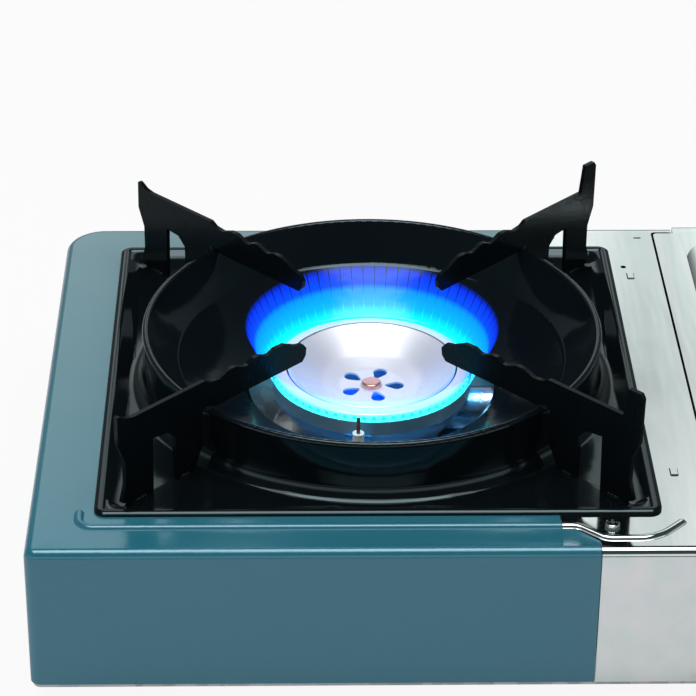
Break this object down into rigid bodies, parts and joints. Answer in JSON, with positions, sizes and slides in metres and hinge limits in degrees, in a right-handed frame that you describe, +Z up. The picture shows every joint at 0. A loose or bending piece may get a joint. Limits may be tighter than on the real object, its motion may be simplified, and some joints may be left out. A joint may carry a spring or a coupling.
{
  "type": "butane cassette stove",
  "caption": "Portable gas stove: sheet-metal body, round burner in a wind ring with pan supports, canister bay under a hinged lid, knob and lock lever in front.",
  "frame": {"origin": "centre of the whole stove's bounding box, on the table it stands on", "axes": "+X to the canister's side, on the right for the cook; -Y to the front, where the knob is; +Z up"},
  "size_m": [0.3736, 0.2978, 0.123],
  "materials": {
    "blue_metal": "metallic",
    "stainless": "polished",
    "galvanised_steel": "satin",
    "steel_fastener": "satin",
    "black_enamel": "gloss",
    "cast_aluminium": "satin",
    "burner_steel": "satin",
    "copper": "polished",
    "brass": "satin",
    "white_ceramic": "glazed",
    "black_rubber": "matte",
    "black_plastic": "gloss",
    "grey_plastic": "matte",
    "lead_sleeve": "matte",
    "dial_plate": "satin"
  },
  "bodies": {
    "stove": {"burner_side_shell": "blue_metal", "canister_side_shell": "stainless", "base_pan": "galvanised_steel", "seam_plates": "galvanised_steel", "heat_shield": "galvanised_steel", "regulator_bracket": "galvanised_steel", "lever_bracket": "galvanised_steel", "burner_bracket": "galvanised_steel", "jet_bracket": "galvanised_steel", "piezo_bracket": "galvanised_steel", "reflector_dish": "galvanised_steel", "electrode_bracket": "galvanised_steel", "lid_hinge_bracket": "galvanised_steel", "foot_screws": "steel_fastener", "foot_nuts": "steel_fastener", "panel_screws": "steel_fastener", "shell_screws": "steel_fastener", "bracket_screws": "steel_fastener", "burner_screws": "steel_fastener", "electrode_screw": "steel_fastener", "regulator_screws": "steel_fastener", "piezo_screws": "steel_fastener", "lid_hinge_pin": "steel_fastener", "carriage_guide_pins": "steel_fastener", "lever_pivot_pin": "steel_fastener", "regulator_spring": "steel_fastener", "electrode_pin": "steel_fastener", "burner_body": "cast_aluminium", "regulator_cap": "cast_aluminium", "burner_port_ring": "burner_steel", "burner_dish": "burner_steel", "burner_rivet": "copper", "gas_pipe": "copper", "regulator_body": "brass", "spindle_gland_nut": "brass", "jet_nozzle": "brass", "pipe_nuts": "brass", "electrode_ceramic": "white_ceramic", "rubber_feet": "black_rubber", "canister_gasket": "black_rubber", "regulator_diaphragm": "black_rubber", "piezo_housing": "grey_plastic", "ignition_lead": "lead_sleeve", "dial_plate": "dial_plate"},
    "lid": {"lid": "stainless"},
    "knob": {"control_knob": "black_plastic", "valve_spindle": "steel_fastener", "ignition_cam": "grey_plastic"},
    "lever": {"lock_lever": "steel_fastener", "lever_grip": "black_plastic"},
    "carriage": {"canister_carriage": "galvanised_steel", "carriage_drive_pin": "steel_fastener"},
    "plunger": {"piezo_plunger": "grey_plastic"},
    "tray": {"drip_tray": "black_enamel", "pan_support_front_left": "black_enamel", "pan_support_front_right": "black_enamel", "pan_support_back_left": "black_enamel", "pan_support_back_right": "black_enamel"}
  },
  "joints": [
    {"name": "lid_hinge", "type": "hinge", "parent": "stove", "child": "lid", "pos_m": [0.1374, 0.1456, 0.069], "axis": [-1, 0, 0], "range_deg": [0, 85]},
    {"name": "knob_turn", "type": "hinge", "parent": "stove", "child": "knob", "pos_m": [0.1374, -0.1309, 0.0445], "axis": [0, 1, 0], "range_deg": [0, 100]},
    {"name": "lever_turn", "type": "hinge", "parent": "stove", "child": "lever", "pos_m": [0.1004, -0.1189, 0.02], "axis": [-1, 0, 0], "range_deg": [0, 35]},
    {"name": "carriage_slide", "type": "slide", "parent": "stove", "child": "carriage", "axis": [0, 1, 0], "range_m": [0, 0.008]},
    {"name": "piezo_press", "type": "slide", "parent": "stove", "child": "plunger", "axis": [1, 0, 0], "range_m": [0, 0.004], "stiffness_N_per_m": 300},
    {"name": "tray_lift", "type": "slide", "parent": "stove", "child": "tray", "axis": [0, 0, 1], "range_m": [0, 0.06]}
  ],
  "couplings": [
    {"joint": "lever_turn", "follows": "carriage_slide", "rad_per_m": 76.35}
  ]
}
